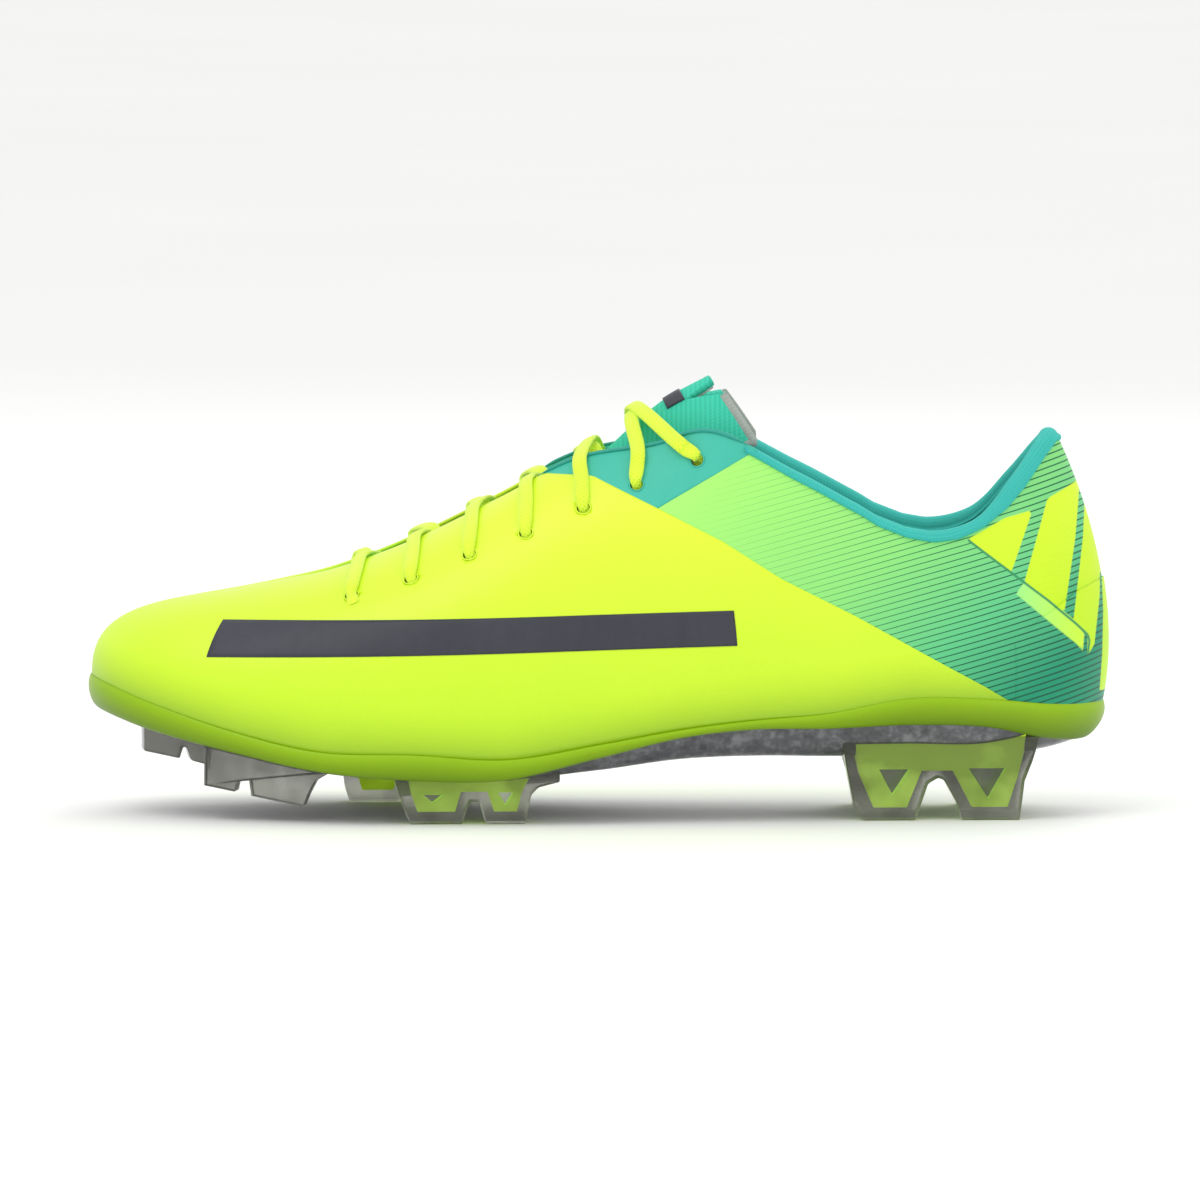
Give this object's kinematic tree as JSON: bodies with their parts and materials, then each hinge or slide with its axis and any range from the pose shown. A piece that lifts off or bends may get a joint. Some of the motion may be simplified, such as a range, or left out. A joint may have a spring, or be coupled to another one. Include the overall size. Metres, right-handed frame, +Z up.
{
  "type": "soccer cleat",
  "caption": "Left soccer cleat with a layered synthetic upper, lined quarters, laced throat, folding tongue and a moulded plate with bladed studs",
  "frame": {"origin": "On the ground below the middle of the boot's length and width", "axes": "+Z up, toe towards -X, heel towards +X, the outer (lateral) side of the left foot towards -Y"},
  "size_m": [0.28, 0.0922, 0.1196],
  "materials": {
    "neon_skin": "thin synthetic leather, satin",
    "neon_lace": "flat woven polyester",
    "lined_skin": "synthetic leather printed with fine slanted lines",
    "heel_cap_print": "thin moulded film, printed",
    "teal_skin": "synthetic leather, satin",
    "dark_print": "printed film",
    "teal_knit": "ribbed mesh",
    "pale_lining": "brushed lining",
    "turquoise_lining": "suede-like lining",
    "sockliner_cloth": "cloth on foam",
    "foam": "open-cell foam",
    "fibre_board": "pressed fibre",
    "rim_plastic": "moulded polyurethane",
    "composite_plate": "chopped fibre composite",
    "smoked_stud": "translucent smoked polyurethane",
    "green_core": "moulded nylon",
    "clear_aglet": "clear plastic sleeve"
  },
  "bodies": {
    "boot": {"vamp": "neon_skin", "lace": "neon_lace", "quarter_lateral": "lined_skin", "quarter_medial": "lined_skin", "heel_cap": "heel_cap_print", "eyestay_lateral": "teal_skin", "eyestay_medial": "teal_skin", "side_band_lateral": "dark_print", "side_band_medial": "dark_print", "forefoot_lining": "pale_lining", "heel_lining": "turquoise_lining", "collar_binding": "turquoise_lining", "sockliner": "sockliner_cloth", "collar_foam_lateral": "foam", "collar_foam_medial": "foam", "heel_counter": "fibre_board", "toe_puff": "fibre_board", "lasting_board": "fibre_board", "sole_rim": "rim_plastic", "outsole_plate": "composite_plate", "stud_toe": "smoked_stud", "stud_front_lateral": "smoked_stud", "stud_mid_lateral": "smoked_stud", "stud_mid_medial": "smoked_stud", "stud_heel_lateral": "smoked_stud", "stud_heel_medial": "smoked_stud", "core_mid_lateral": "green_core", "core_mid_medial": "green_core", "core_heel_lateral": "green_core", "core_heel_medial": "green_core", "aglet_a": "clear_aglet", "aglet_b": "clear_aglet"},
    "tongue": {"tongue": "teal_knit", "tongue_lining": "pale_lining", "tongue_patch": "dark_print"}
  },
  "joints": [
    {"name": "tongue_fold", "type": "hinge", "parent": "boot", "child": "tongue", "pos_m": [-0.066, 0, 0.059], "axis": [0, 1, 0], "range_deg": [0, 10]}
  ]
}
